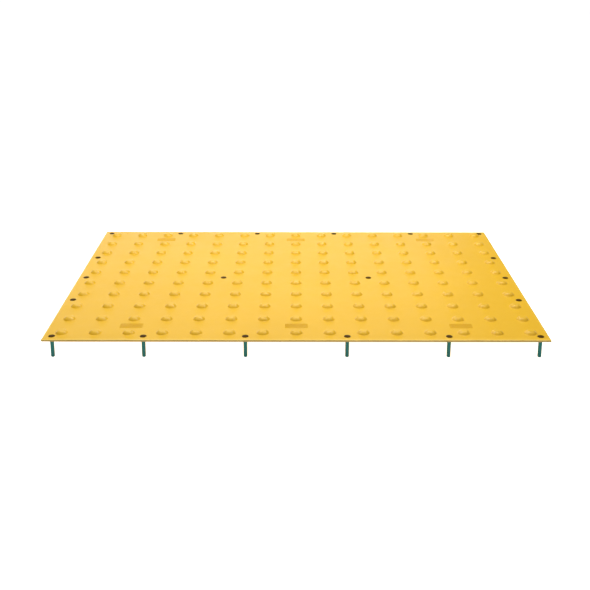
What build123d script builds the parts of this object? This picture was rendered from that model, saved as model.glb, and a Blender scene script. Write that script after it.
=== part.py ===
from build123d import *

import os

# A surface-applied detectable warning tile: a bevelled plastic panel with rows of
# truncated domes, held down by twenty nail-in anchors. Each anchor is a split plastic
# sleeve seated in the panel and a steel drive pin that is hammered down its bore.
# Millimetres. Origin at the centre of the bonding face on the underside, +X along the
# panel's long side, +Z up through the domes.

# Panel
PITCH = 60.96
COLUMNS = 15
ROWS = 10
PANEL_LENGTH = COLUMNS * PITCH
PANEL_WIDTH = ROWS * PITCH
PANEL_THICKNESS = 4.0
EDGE_HEIGHT = 3.2
BEVEL_WIDTH = 3.5

# Truncated domes, hollow beneath so that the wall stays even
DOME_BASE_RADIUS = 11.45
DOME_TOP_RADIUS = 5.7
DOME_HEIGHT = 5.1
HOLLOW_BASE_RADIUS = 8.2
HOLLOW_TOP_RADIUS = 3.0
HOLLOW_HEIGHT = 5.0

# Patches of low ribs, three along each long edge between the domes
RIB_LENGTH = 42.0
RIB_WIDTH = 1.2
RIB_HEIGHT = 0.4
RIB_SPACING = 2.4
RIB_COUNT = 8
PATCH_SPACING_X = 5 * PITCH
PATCH_SPACING_Y = 8 * PITCH

# Anchor seats in the panel
SEAT_RADIUS = 6.2
SEAT_DEPTH = 2.0
HOLE_RADIUS = 3.9

# Anchor places
EDGE_INSET = 15.875
ROW_SPACING = 184.15
SIDE_SPACING = 120.65
MIDDLE_X = 152.4

# Anchor sleeve, from the collar down to the rounded tip
COLLAR_RADIUS = 5.8
COLLAR_THICKNESS = 1.2
COLLAR_CHAMFER = 0.25
NECK_RADIUS = 3.8
SHANK_RADIUS = 3.6
SHANK_LENGTH = 15.0
TIP_RADIUS = 3.5
TIP_ROUNDING = 1.5
SLEEVE_REACH = 36.1
BORE_RADIUS = 1.65
SLIT_WIDTH = 1.2

# Drive pin
HEAD_RADIUS = 5.7
HEAD_RIM = 1.2
HEAD_DOME = 0.7
HEAD_ROUNDING = 0.4
PIN_RADIUS = 1.6
PIN_REACH = 33.0
PIN_POINT = 3.0
PIN_TIP_RADIUS = 0.5

SEAT_FLOOR = PANEL_THICKNESS - SEAT_DEPTH
COLLAR_TOP = SEAT_FLOOR + COLLAR_THICKNESS

# The anchors stand in the gaps between the domes: a row of six along each long edge,
# three more down each short edge, and two near the middle
side_x = PANEL_LENGTH / 2 - EDGE_INSET
side_y = PANEL_WIDTH / 2 - EDGE_INSET
inner_x = [(step - 1.5) * ROW_SPACING for step in range(4)]
anchor_places = [(x, y) for y in (-side_y, side_y) for x in [-side_x, *inner_x, side_x]]
anchor_places += [(x, step * SIDE_SPACING) for x in (-side_x, side_x) for step in (-1, 0, 1)]
anchor_places += [(-MIDDLE_X, 0), (MIDDLE_X, 0)]


def sphere_radius(base_radius, top_radius, height):
    """Radius of the sphere whose zone runs between two circles this far apart."""
    drop = (base_radius**2 - top_radius**2 - height**2) / (2 * height)
    return (base_radius**2 + drop**2) ** 0.5


os.makedirs("parts", exist_ok=True)

# One dome: a zone of a sphere with a flat top
with BuildPart() as dome:
    with BuildSketch(Plane.XZ):
        with BuildLine():
            top_height = PANEL_THICKNESS + DOME_HEIGHT
            axis_foot = (0, SEAT_FLOOR)
            wall_foot = (DOME_BASE_RADIUS, SEAT_FLOOR)
            shoulder = (DOME_BASE_RADIUS, PANEL_THICKNESS)
            rim = (DOME_TOP_RADIUS, top_height)
            flank = sphere_radius(DOME_BASE_RADIUS, DOME_TOP_RADIUS, DOME_HEIGHT)
            Polyline(rim, (0, top_height), axis_foot, wall_foot, shoulder)
            RadiusArc(shoulder, rim, -flank)
        make_face()
    revolve(axis=Axis.Z)

# The hollow beneath one dome
with BuildPart() as hollow:
    with BuildSketch(Plane.XZ):
        with BuildLine():
            mouth = (HOLLOW_BASE_RADIUS, 0)
            crown = (HOLLOW_TOP_RADIUS, HOLLOW_HEIGHT)
            flank = sphere_radius(HOLLOW_BASE_RADIUS, HOLLOW_TOP_RADIUS, HOLLOW_HEIGHT)
            Polyline(crown, (0, HOLLOW_HEIGHT), (0, 0), mouth)
            RadiusArc(mouth, crown, -flank)
        make_face()
    revolve(axis=Axis.Z)

with BuildPart() as tactile_panel:
    with BuildSketch():
        Rectangle(PANEL_LENGTH, PANEL_WIDTH)
    extrude(amount=PANEL_THICKNESS)
    top_face = tactile_panel.faces().sort_by(Axis.Z)[-1]
    bevel_height = PANEL_THICKNESS - EDGE_HEIGHT
    chamfer(top_face.edges(), length=BEVEL_WIDTH, length2=bevel_height, reference=top_face)
    with GridLocations(PITCH, PITCH, COLUMNS, ROWS):
        add(dome.part)
    with GridLocations(PITCH, PITCH, COLUMNS, ROWS):
        add(hollow.part, mode=Mode.SUBTRACT)
    with BuildSketch(Plane.XY.offset(PANEL_THICKNESS)):
        with GridLocations(PATCH_SPACING_X, PATCH_SPACING_Y, 3, 2):
            with GridLocations(RIB_LENGTH, RIB_SPACING, 1, RIB_COUNT):
                Rectangle(RIB_LENGTH, RIB_WIDTH)
    extrude(amount=RIB_HEIGHT)
    with Locations(*[(x, y, PANEL_THICKNESS) for x, y in anchor_places]):
        CounterBoreHole(HOLE_RADIUS, SEAT_RADIUS, SEAT_DEPTH)

tactile_panel.part.label = "tactile_panel"
export_step(tactile_panel.part, "parts/tactile_panel.step")

# The sleeve at the origin: collar, neck in the panel's hole, round shank, then a slit
# taper with a rounded end
with BuildPart() as sleeve_shape:
    with BuildSketch(Plane.XZ):
        with BuildLine():
            Polyline(
                (0, -SLEEVE_REACH),
                (0, COLLAR_TOP),
                (COLLAR_RADIUS, COLLAR_TOP),
                (COLLAR_RADIUS, SEAT_FLOOR),
                (NECK_RADIUS, SEAT_FLOOR),
                (NECK_RADIUS, 0),
                (SHANK_RADIUS, 0),
                (SHANK_RADIUS, -SHANK_LENGTH),
                (TIP_RADIUS, -SLEEVE_REACH),
                (0, -SLEEVE_REACH),
            )
        make_face()
    revolve(axis=Axis.Z)
    fillet(sleeve_shape.edges().sort_by(Axis.Z)[0], radius=TIP_ROUNDING)
    chamfer(sleeve_shape.edges().sort_by(Axis.Z)[-1], length=COLLAR_CHAMFER)
    with Locations((0, 0, COLLAR_TOP)):
        Hole(BORE_RADIUS)
    slit_height = SLEEVE_REACH - SHANK_LENGTH
    with BuildSketch(Plane.XY.offset(-SLEEVE_REACH)):
        Rectangle(4 * SHANK_RADIUS, SLIT_WIDTH)
    extrude(amount=slit_height, mode=Mode.SUBTRACT)

# The drive pin at the origin: pan head with a rounded rim, plain shank and a blunt point
with BuildPart() as pin_shape:
    with BuildSketch(Plane.XZ):
        with BuildLine():
            head_rim = (HEAD_RADIUS, COLLAR_TOP + HEAD_RIM)
            head_crown = (0, COLLAR_TOP + HEAD_RIM + HEAD_DOME)
            Polyline(
                head_crown,
                (0, -PIN_REACH),
                (PIN_TIP_RADIUS, -PIN_REACH),
                (PIN_RADIUS, PIN_POINT - PIN_REACH),
                (PIN_RADIUS, COLLAR_TOP),
                (HEAD_RADIUS, COLLAR_TOP),
                head_rim,
            )
            RadiusArc(head_rim, head_crown, -sphere_radius(HEAD_RADIUS, 0, HEAD_DOME))
        make_face()
    revolve(axis=Axis.Z)
    head_circles = pin_shape.edges().group_by(SortBy.LENGTH)[-1]
    fillet(head_circles.sort_by(Axis.Z)[-1], radius=HEAD_ROUNDING)

for number, place in enumerate(anchor_places, start=1):
    with BuildPart() as anchor_sleeve:
        with Locations(place):
            add(sleeve_shape.part)
    anchor_sleeve.part.label = f"anchor_sleeve_{number:02d}"
    export_step(anchor_sleeve.part, f"parts/anchor_sleeve_{number:02d}.step")

    with BuildPart() as drive_pin:
        with Locations(place):
            add(pin_shape.part)
    drive_pin.part.label = f"drive_pin_{number:02d}"
    export_step(drive_pin.part, f"parts/drive_pin_{number:02d}.step")
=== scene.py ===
import math

import bmesh
import bpy
from mathutils import Matrix, Vector
from mathutils.geometry import delaunay_2d_cdt


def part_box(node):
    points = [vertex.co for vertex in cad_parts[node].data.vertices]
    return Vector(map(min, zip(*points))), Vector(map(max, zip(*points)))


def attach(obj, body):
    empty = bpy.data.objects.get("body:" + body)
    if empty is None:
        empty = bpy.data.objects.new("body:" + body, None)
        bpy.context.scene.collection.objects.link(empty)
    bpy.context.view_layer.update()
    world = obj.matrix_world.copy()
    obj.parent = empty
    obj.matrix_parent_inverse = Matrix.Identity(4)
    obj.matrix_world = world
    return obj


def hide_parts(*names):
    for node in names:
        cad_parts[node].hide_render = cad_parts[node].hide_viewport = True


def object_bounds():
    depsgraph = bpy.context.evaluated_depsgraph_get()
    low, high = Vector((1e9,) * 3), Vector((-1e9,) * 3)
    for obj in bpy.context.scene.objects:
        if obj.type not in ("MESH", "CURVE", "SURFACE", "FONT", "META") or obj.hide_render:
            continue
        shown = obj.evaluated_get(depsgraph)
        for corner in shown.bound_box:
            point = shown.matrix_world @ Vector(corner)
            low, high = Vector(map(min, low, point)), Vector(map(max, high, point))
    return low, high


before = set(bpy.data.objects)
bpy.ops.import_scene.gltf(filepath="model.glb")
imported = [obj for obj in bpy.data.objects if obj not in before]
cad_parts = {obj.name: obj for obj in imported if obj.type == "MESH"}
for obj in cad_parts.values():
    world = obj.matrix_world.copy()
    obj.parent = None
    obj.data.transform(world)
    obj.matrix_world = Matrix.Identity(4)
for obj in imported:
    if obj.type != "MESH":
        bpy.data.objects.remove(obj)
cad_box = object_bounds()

MM = 0.001

# ---------------------------------------------------------------- sizes
panel_low, panel_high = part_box("tactile_panel")
COLUMNS = 15
ROWS = 10
PANEL_LENGTH = panel_high.x - panel_low.x
PANEL_WIDTH = panel_high.y - panel_low.y
PITCH = PANEL_LENGTH / COLUMNS
THICKNESS = 4.0 * MM
EDGE_HEIGHT = 3.2 * MM
BEVEL_WIDTH = 3.5 * MM

DOME_BASE = 11.45 * MM
DOME_TOP = 5.7 * MM
DOME_HEIGHT = panel_high.z - THICKNESS
DOME_FOOT_ROUND = 0.8 * MM
DOME_RIM_ROUND = 2.6 * MM
HOLLOW_BASE = 8.2 * MM
HOLLOW_TOP = 3.0 * MM
HOLLOW_HEIGHT = 5.0 * MM

RIB_LENGTH = 42.0 * MM
RIB_WIDTH = 1.2 * MM
RIB_HEIGHT = 0.4 * MM
RIB_SPACING = 2.4 * MM
RIB_COUNT = 8
# Share of the rib's width that its corner radius takes
RIB_CORNER = 0.42
PATCH_PLACES = [(x * PITCH, y * PITCH) for x in (-5, 0, 5) for y in (-4, 4)]

SEAT_RADIUS = 6.2 * MM
SEAT_DEPTH = 2.0 * MM
SEAT_LIP = 0.3 * MM
HOLE_RADIUS = 3.9 * MM

# The panel's outline: its upright corners, the eased bevel line and the rounded lower edge
CORNER_RADIUS = 1.2 * MM
LEAST_CORNER = 0.4 * MM
BEVEL_EASE = 0.6 * MM
EDGE_ROUND = 0.35 * MM

# Straight sides that stand for each round shape
DOME_SIDES = 40
HOLLOW_SIDES = 24
SEAT_SIDES = 48
PANEL_CORNER_STEPS = 4
RIB_CORNER_STEPS = 3

ANCHORS = [f"{number:02d}" for number in range(1, 21)]
FLOOR_Z = cad_box[0][2]
FLOOR_REACH = 30.0

# Linear colours
YELLOW = (0.632, 0.36, 0.002)
YELLOW_LIGHT = (0.654, 0.375, 0.004)
YELLOW_MOTTLE = (0.6, 0.34, 0.001)
YELLOW_RUBBED = (0.67, 0.42, 0.03)
# Pale painted highlight along the bevel
YELLOW_BEVEL_HIGHLIGHT = (0.72, 0.46, 0.05)
# Painted shade for the panel's edge faces and outer rim
EDGE_SHADE = (0.16, 0.105, 0.014)
GREEN = (0.003, 0.096, 0.09)
GREEN_LIGHT = (0.007, 0.116, 0.108)
BROWN = (0.045, 0.021, 0.002)
BROWN_LIGHT = (0.07, 0.034, 0.005)
BROWN_SHINE = (0.8, 0.5, 0.25, 1.0)
FLOOR_GREY = (0.86, 0.86, 0.86, 1.0)
WHITE = (1.0, 1.0, 1.0, 1.0)


# ---------------------------------------------------------------- mesh helpers
def arc(centre, radius, start, end, steps):
    """Points (r, z) of an arc, with its angles in radians from the +r direction."""
    points = []
    for i in range(steps + 1):
        angle = start + (end - start) * i / steps
        points.append((centre[0] + radius * math.cos(angle), centre[1] + radius * math.sin(angle)))
    return points


def zone(base, top, height):
    """Depth of a sphere's centre below the base circle of a zone, and its radius."""
    depth = (base**2 - top**2 - height**2) / (2 * height)
    return depth, math.hypot(base, depth)


def round_loop(bm, x, y, radius, z, count):
    """A level ring of vertices."""
    loop = []
    for i in range(count):
        angle = 2 * math.pi * i / count
        loop.append(bm.verts.new((x + radius * math.cos(angle), y + radius * math.sin(angle), z)))
    return loop


def box_loop(bm, x, y, length, width, corner, z, steps):
    """A level rounded rectangle of vertices, anticlockwise from +X."""
    loop = []
    for sx, sy, start in ((1, 1, 0.0), (-1, 1, 0.5), (-1, -1, 1.0), (1, -1, 1.5)):
        cx = x + sx * (length / 2 - corner)
        cy = y + sy * (width / 2 - corner)
        for i in range(steps + 1):
            angle = math.pi * (start + 0.5 * i / steps)
            place = (cx + corner * math.cos(angle), cy + corner * math.sin(angle), z)
            loop.append(bm.verts.new(place))
    return loop


def bridge(bm, first, second):
    """Quads between two rings of as many vertices."""
    for i in range(len(first)):
        bm.faces.new((first[i - 1], first[i], second[i], second[i - 1]))


def turned(bm, x, y, profile, count):
    """Rings that follow (r, z) points. Returns the first and the last ring."""
    rings = [round_loop(bm, x, y, r, z, count) for r, z in profile]
    for lower, upper in zip(rings, rings[1:]):
        bridge(bm, lower, upper)
    return rings[0], rings[-1]


def fill_plane(bm, outer, holes):
    """Triangles of the flat region between an outer loop and the convex holes in it."""
    keep_inside = 1
    merge_distance = 1e-7
    corners = []
    edges = []
    owners = []
    for number, loop in enumerate([outer] + holes):
        first = len(corners)
        corners += loop
        owners += [number] * len(loop)
        edges += [(first + i, first + (i + 1) % len(loop)) for i in range(len(loop))]
    flat = [Vector((v.co.x, v.co.y)) for v in corners]
    _, _, triangles, sources, _, _ = delaunay_2d_cdt(flat, edges, [], keep_inside, merge_distance)
    for triangle in triangles:
        places = [sources[i][0] for i in triangle]
        inside = {owners[place] for place in places}
        # Three corners on one hole's outline span the hole itself
        if len(inside) > 1 or inside == {0}:
            bm.faces.new([corners[place] for place in places])


def finish_mesh(bm, name, material, body, sharp_deg=40.0):
    """Makes the object, smooth shaded with its corners sharp, and rides it on its body."""
    bmesh.ops.recalc_face_normals(bm, faces=bm.faces)
    for face in bm.faces:
        face.smooth = True
    for edge in bm.edges:
        edge.smooth = edge.calc_face_angle(0.0) < math.radians(sharp_deg)
    mesh = bpy.data.meshes.new(name)
    bm.to_mesh(mesh)
    bm.free()
    mesh.materials.append(material)
    piece = bpy.data.objects.new(name, mesh)
    bpy.context.scene.collection.objects.link(piece)
    weighted = piece.modifiers.new("even_normals", "WEIGHTED_NORMAL")
    weighted.mode = "FACE_AREA"
    weighted.keep_sharp = True
    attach(piece, body)
    return piece


# ---------------------------------------------------------------- node helpers
class Nodes:
    """Short names for building one material's node tree."""

    def __init__(self, name):
        self.material = bpy.data.materials.new(name)
        self.material.use_nodes = True
        self.tree = self.material.node_tree
        self.shader = self.tree.nodes["Principled BSDF"]
        self.where = self.add("ShaderNodeTexCoord").outputs["Object"]

    def add(self, kind, **values):
        node = self.tree.nodes.new(kind)
        for key, value in values.items():
            setattr(node, key, value)
        return node

    def link(self, source, target):
        self.tree.links.new(source, target)

    def noise(self, scale, detail=3.0, roughness=0.5, stretch=None):
        node = self.add("ShaderNodeTexNoise")
        node.inputs["Scale"].default_value = scale
        node.inputs["Detail"].default_value = detail
        node.inputs["Roughness"].default_value = roughness
        place = self.where
        if stretch:
            mapping = self.add("ShaderNodeMapping")
            mapping.inputs["Scale"].default_value = stretch
            self.link(place, mapping.inputs["Vector"])
            place = mapping.outputs["Vector"]
        self.link(place, node.inputs["Vector"])
        return node.outputs["Fac"]

    def remap(self, source, low, high, to_low=0.0, to_high=1.0):
        node = self.add("ShaderNodeMapRange")
        node.inputs["From Min"].default_value = low
        node.inputs["From Max"].default_value = high
        node.inputs["To Min"].default_value = to_low
        node.inputs["To Max"].default_value = to_high
        self.link(source, node.inputs["Value"])
        return node.outputs["Result"]

    def maths(self, operation, first, second):
        node = self.add("ShaderNodeMath", operation=operation)
        for socket, value in zip(node.inputs, (first, second)):
            if isinstance(value, (int, float)):
                socket.default_value = value
            else:
                self.link(value, socket)
        return node.outputs["Value"]

    def mix(self, share, first, second):
        node = self.add("ShaderNodeMix", data_type="RGBA")
        self.link(share, node.inputs["Factor"])
        colour_a = [s for s in node.inputs if s.name == "A" and s.type == "RGBA"][0]
        colour_b = [s for s in node.inputs if s.name == "B" and s.type == "RGBA"][0]
        for socket, value in ((colour_a, first), (colour_b, second)):
            if isinstance(value, tuple):
                socket.default_value = (*value, 1.0)
            else:
                self.link(value, socket)
        return [s for s in node.outputs if s.type == "RGBA"][0]

    def bump(self, height, distance, strength, before=None):
        node = self.add("ShaderNodeBump")
        node.inputs["Strength"].default_value = strength
        node.inputs["Distance"].default_value = distance
        self.link(height, node.inputs["Height"])
        if before:
            self.link(before, node.inputs["Normal"])
        return node.outputs["Normal"]

    def to(self, name, source):
        self.link(source, self.shader.inputs[name])

    def set(self, **values):
        for name, value in values.items():
            self.shader.inputs[name.replace("_", " ")].default_value = value


# ---------------------------------------------------------------- materials
def panel_plastic():
    """Yellow moulded polymer: fine grain, rubbed dome tops, a pale painted highlight along the bevel
    and painted shade on the edges.
    """
    n = Nodes("moulded_polymer")
    drift = n.noise(5.0, detail=2.0)
    mottle = n.noise(160.0, detail=4.0, roughness=0.6)
    colour = n.mix(n.remap(drift, 0.35, 0.65), YELLOW, YELLOW_LIGHT)
    colour = n.mix(n.remap(mottle, 0.45, 0.75, 0.0, 0.25), colour, YELLOW_MOTTLE)
    place = n.add("ShaderNodeSeparateXYZ")
    n.link(n.where, place.inputs["Vector"])
    # Dome tops are the first to be rubbed, so they are a little paler and smoother
    top = n.remap(place.outputs["Z"], THICKNESS + 0.75 * DOME_HEIGHT, THICKNESS + DOME_HEIGHT)
    rub = n.maths("MULTIPLY", top, n.remap(n.noise(90.0, detail=5.0), 0.35, 0.7))
    colour = n.mix(n.maths("MULTIPLY", rub, 0.3), colour, YELLOW_RUBBED)
    # Painted shade darkens the edge faces and the band just over them, with an uneven border
    out_x = n.maths("SUBTRACT", n.maths("ABSOLUTE", place.outputs["X"], 0.0), PANEL_LENGTH / 2)
    out_y = n.maths("SUBTRACT", n.maths("ABSOLUTE", place.outputs["Y"], 0.0), PANEL_WIDTH / 2)
    outward = n.maths("MAXIMUM", out_x, out_y)
    ragged = n.remap(n.noise(300.0, detail=3.0), 0.3, 0.7, -0.3 * MM, 0.3 * MM)
    border = n.maths("ADD", outward, ragged)
    edge_shade = n.remap(border, -0.9 * MM, -0.2 * MM)
    # The bevel inside that border is painted pale as a highlight
    bevel_highlight = n.remap(border, -BEVEL_WIDTH - 0.3 * MM, -BEVEL_WIDTH + 0.5 * MM)
    colour = n.mix(n.maths("MULTIPLY", bevel_highlight, 0.8), colour, YELLOW_BEVEL_HIGHLIGHT)
    colour = n.mix(n.maths("MULTIPLY", edge_shade, 0.8), colour, EDGE_SHADE)
    n.to("Base Color", colour)
    worn = n.remap(n.noise(28.0, detail=6.0, roughness=0.65), 0.3, 0.7, 0.37, 0.47)
    n.to("Roughness", n.maths("SUBTRACT", worn, n.maths("MULTIPLY", rub, 0.06)))
    grain = n.bump(n.noise(1300.0, detail=2.0), 0.08 * MM, 0.5)
    n.to("Normal", n.bump(mottle, 0.12 * MM, 0.35, before=grain))
    n.set(IOR=1.5, Specular_IOR_Level=0.4, Sheen_Weight=0.22, Sheen_Roughness=0.35)
    return n.material


def sleeve_nylon():
    """Green nylon with faint flow lines along the moulding."""
    n = Nodes("green_nylon")
    flow = n.noise(220.0, detail=4.0, stretch=(1.0, 1.0, 0.12))
    colour = n.mix(n.remap(flow, 0.35, 0.7), GREEN, GREEN_LIGHT)
    n.to("Base Color", colour)
    n.to("Roughness", n.remap(n.noise(500.0, detail=3.0), 0.3, 0.7, 0.42, 0.56))
    n.to("Normal", n.bump(flow, 0.05 * MM, 0.4))
    n.set(IOR=1.53, Specular_IOR_Level=0.2)
    return n.material


def pin_steel():
    """Steel under a dark brown coating, with a cloudy tone and a slightly varied roughness."""
    n = Nodes("dark_steel")
    cloud = n.noise(350.0, detail=5.0, roughness=0.6)
    colour = n.mix(n.remap(cloud, 0.35, 0.7), BROWN, BROWN_LIGHT)
    n.to("Base Color", colour)
    n.to("Roughness", n.remap(n.noise(900.0, detail=4.0), 0.3, 0.7, 0.5, 0.64))
    n.to("Normal", n.bump(cloud, 0.06 * MM, 0.35))
    n.set(Specular_IOR_Level=0.1, Specular_Tint=BROWN_SHINE)
    return n.material


# ---------------------------------------------------------------- panel
def dome_profile():
    """(r, z) points from the flat surface up over the rounded foot, the flank and the rim."""
    depth, radius = zone(DOME_BASE, DOME_TOP, DOME_HEIGHT)
    foot_r = math.sqrt((radius + DOME_FOOT_ROUND) ** 2 - (depth + DOME_FOOT_ROUND) ** 2)
    foot_angle = math.atan2(depth + DOME_FOOT_ROUND, foot_r)
    inner = radius - DOME_RIM_ROUND
    rim_z = DOME_HEIGHT - DOME_RIM_ROUND
    rim_r = math.sqrt(inner**2 - (depth + rim_z) ** 2)
    rim_angle = math.atan2(depth + rim_z, rim_r)
    points = arc((foot_r, DOME_FOOT_ROUND), DOME_FOOT_ROUND, -math.pi / 2, foot_angle - math.pi, 2)
    points += arc((0.0, -depth), radius, foot_angle, rim_angle, 4)[1:]
    points += arc((rim_r, rim_z), DOME_RIM_ROUND, rim_angle, math.pi / 2, 3)[1:]
    return [(r, THICKNESS + z) for r, z in points]


def hollow_profile():
    """(r, z) points from the hollow's mouth on the underside up to its flat roof."""
    depth, radius = zone(HOLLOW_BASE, HOLLOW_TOP, HOLLOW_HEIGHT)
    foot = math.atan2(depth, HOLLOW_BASE)
    crown = math.atan2(depth + HOLLOW_HEIGHT, HOLLOW_TOP)
    return arc((0.0, -depth), radius, foot, crown, 4)


def seat_profile():
    """(r, z) points: round the seat's lip, down its wall, over its floor and down the hole."""
    floor = THICKNESS - SEAT_DEPTH
    lip_centre = (SEAT_RADIUS + SEAT_LIP, THICKNESS - SEAT_LIP)
    points = arc(lip_centre, SEAT_LIP, math.pi / 2, math.pi, 3)
    points += [(SEAT_RADIUS, floor), (HOLE_RADIUS, floor), (HOLE_RADIUS, 0.0)]
    return points


def rim_profile():
    """(inset from the outline, height) points: the eased bevel, the edge face, the underside."""
    slope = (THICKNESS - EDGE_HEIGHT) / BEVEL_WIDTH
    return [
        (BEVEL_WIDTH + BEVEL_EASE, THICKNESS),
        (BEVEL_WIDTH, THICKNESS - 0.25 * slope * BEVEL_EASE),
        (BEVEL_WIDTH - BEVEL_EASE, THICKNESS - slope * BEVEL_EASE),
        (EDGE_ROUND, EDGE_HEIGHT + slope * EDGE_ROUND),
        (0.3 * EDGE_ROUND, EDGE_HEIGHT - 0.1 * EDGE_ROUND),
        (0.0, EDGE_HEIGHT - EDGE_ROUND),
        (0.0, EDGE_ROUND),
        (0.3 * EDGE_ROUND, 0.3 * EDGE_ROUND),
        (EDGE_ROUND, 0.0),
    ]


def anchor_place(number):
    """(x, y) of an anchor's axis."""
    low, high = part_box(f"anchor_sleeve_{number}")
    return (low.x + high.x) / 2, (low.y + high.y) / 2


def build_panel(material):
    """The whole moulding as one closed mesh, with its domes, hollows, seats and ribs."""
    bm = bmesh.new()
    dome_points = dome_profile()
    hollow_points = hollow_profile()
    seat_points = seat_profile()
    top_holes = []
    bottom_holes = []
    for row in range(ROWS):
        for column in range(COLUMNS):
            x = (column - (COLUMNS - 1) / 2) * PITCH
            y = (row - (ROWS - 1) / 2) * PITCH
            foot, crown = turned(bm, x, y, dome_points, DOME_SIDES)
            bm.faces.new(crown)
            top_holes.append(foot)
            mouth, roof = turned(bm, x, y, hollow_points, HOLLOW_SIDES)
            bm.faces.new(roof)
            bottom_holes.append(mouth)
    for number in ANCHORS:
        x, y = anchor_place(number)
        lip, mouth = turned(bm, x, y, seat_points, SEAT_SIDES)
        top_holes.append(lip)
        bottom_holes.append(mouth)
    for x, y in PATCH_PLACES:
        for i in range(RIB_COUNT):
            offset = (i - (RIB_COUNT - 1) / 2) * RIB_SPACING
            top_holes.append(raised_rib(bm, x, y + offset))
    loops = []
    for inset, z in rim_profile():
        length = PANEL_LENGTH - 2 * inset
        width = PANEL_WIDTH - 2 * inset
        corner = max(LEAST_CORNER, CORNER_RADIUS - inset)
        loops.append(box_loop(bm, 0.0, 0.0, length, width, corner, z, PANEL_CORNER_STEPS))
    for upper, lower in zip(loops, loops[1:]):
        bridge(bm, upper, lower)
    fill_plane(bm, loops[0], top_holes)
    fill_plane(bm, loops[-1], bottom_holes)
    piece = finish_mesh(bm, "moulded_panel", material, "panel")
    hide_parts("tactile_panel")


def raised_rib(bm, x, y):
    """A low rib with drafted sides and an eased top. Returns its outline on the surface."""
    # (growth of the outline, height above the surface)
    steps = ((0.08 * MM, 0.0), (0.0, 0.7 * RIB_HEIGHT), (-0.12 * MM, RIB_HEIGHT))
    loops = []
    for grow, z in steps:
        length = RIB_LENGTH + 2 * grow
        width = RIB_WIDTH + 2 * grow
        corner = RIB_CORNER * width
        loops.append(box_loop(bm, x, y, length, width, corner, THICKNESS + z, RIB_CORNER_STEPS))
    for lower, upper in zip(loops, loops[1:]):
        bridge(bm, lower, upper)
    bm.faces.new(loops[-1])
    return loops[0]


def paint(node, material):
    """Gives a CAD node's object one material."""
    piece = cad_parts[node]
    if not piece.material_slots:
        piece.data.materials.append(material)
    for holder in piece.material_slots:
        holder.material = material


# ---------------------------------------------------------------- studio
def build_floor():
    """A plain pale floor that glows white, as an overexposed studio sweep does."""
    n = Nodes("studio_floor")
    n.set(Base_Color=FLOOR_GREY, Roughness=0.9, Emission_Color=WHITE, Emission_Strength=1.0)
    mesh = bpy.data.meshes.new("studio_floor")
    signs = ((-1, -1), (1, -1), (1, 1), (-1, 1))
    corners = [(x * FLOOR_REACH, y * FLOOR_REACH, FLOOR_Z) for x, y in signs]
    mesh.from_pydata(corners, [], [(0, 1, 2, 3)])
    mesh.materials.append(n.material)
    floor = bpy.data.objects.new("studio_floor", mesh)
    bpy.context.scene.collection.objects.link(floor)


def area_light(name, place, width, height, power):
    """A rectangular soft box in metres and watts, aimed at the origin and not seen itself."""
    data = bpy.data.lights.new(name, "AREA")
    data.shape = "RECTANGLE"
    data.size = width
    data.size_y = height
    data.energy = power
    light = bpy.data.objects.new(name, data)
    light.location = place
    light.visible_camera = False
    aim = -Vector(place)
    light.rotation_euler = aim.to_track_quat("-Z", "Y").to_euler()
    bpy.context.scene.collection.objects.link(light)


def build_lights():
    """Soft boxes all round: the strongest stands in front, and wide ones hang over and behind."""
    # name, place, width, height, power
    boxes = (
        ("near_back", (0.0, 0.3, 1.0), 0.6, 0.4, 1.9),
        ("top_left", (-0.45, 0.2, 1.3), 0.6, 0.6, 11.5),
        ("top_right", (0.45, 0.2, 1.3), 0.6, 0.6, 11.2),
        ("over", (0.0, 0.0, 2.4), 2.4, 1.8, 6.4),
        ("over_left", (-1.6, 0.0, 1.8), 1.6, 1.6, 7.4),
        ("over_right", (1.6, 0.0, 1.8), 1.6, 1.6, 8.6),
        ("back_high", (-2.4, 2.2, 1.6), 2.2, 1.6, 6.4),
        ("back_low", (-0.3, 3.4, 0.8), 2.6, 1.0, 16.5),
        ("back_left", (-2.6, 3.0, 0.7), 2.4, 1.0, 7.2),
        ("front", (0.0, -3.0, 2.0), 2.6, 1.4, 26.0),
        ("front_right", (2.2, -2.2, 1.6), 2.0, 1.4, 2.4),
    )
    for box in boxes:
        area_light(*box)


def build_air():
    """Air that looks white to the camera and lights the object only a little."""
    world = bpy.data.worlds.new("studio_air")
    world.use_nodes = True
    tree = world.node_tree
    air = tree.nodes["Background"]
    air.inputs["Color"].default_value = WHITE
    path = tree.nodes.new("ShaderNodeLightPath")
    level = tree.nodes.new("ShaderNodeMapRange")
    level.inputs["To Min"].default_value = 0.04
    level.inputs["To Max"].default_value = 1.0
    tree.links.new(path.outputs["Is Camera Ray"], level.inputs["Value"])
    tree.links.new(level.outputs["Result"], air.inputs["Strength"])
    bpy.context.scene.world = world


def build_camera():
    """The photograph's view, from in front and above. A lens shift keeps uprights nearly upright."""
    data = bpy.data.cameras.new("camera")
    data.lens = 56.402
    data.sensor_width = 36.0
    data.clip_start = 0.05
    data.clip_end = 100.0
    data.shift_y = -0.2
    camera = bpy.data.objects.new("camera", data)
    camera.location = (-6.3 * MM, -1824.0 * MM, 716.5 * MM)
    pitch = math.radians(90.0 - 15.125)
    turn = Matrix.Rotation(math.radians(-0.123), 4, "Z")
    tilt = Matrix.Rotation(pitch, 4, "X")
    roll = Matrix.Rotation(math.radians(0.12), 4, "Z")
    camera.rotation_euler = (turn @ tilt @ roll).to_euler()
    bpy.context.scene.collection.objects.link(camera)
    bpy.context.scene.camera = camera


build_panel(panel_plastic())
nylon = sleeve_nylon()
steel = pin_steel()
for number in ANCHORS:
    paint(f"anchor_sleeve_{number}", nylon)
    paint(f"drive_pin_{number}", steel)
build_floor()
build_lights()
build_air()
build_camera()
bpy.context.scene.view_settings.view_transform = "Standard"
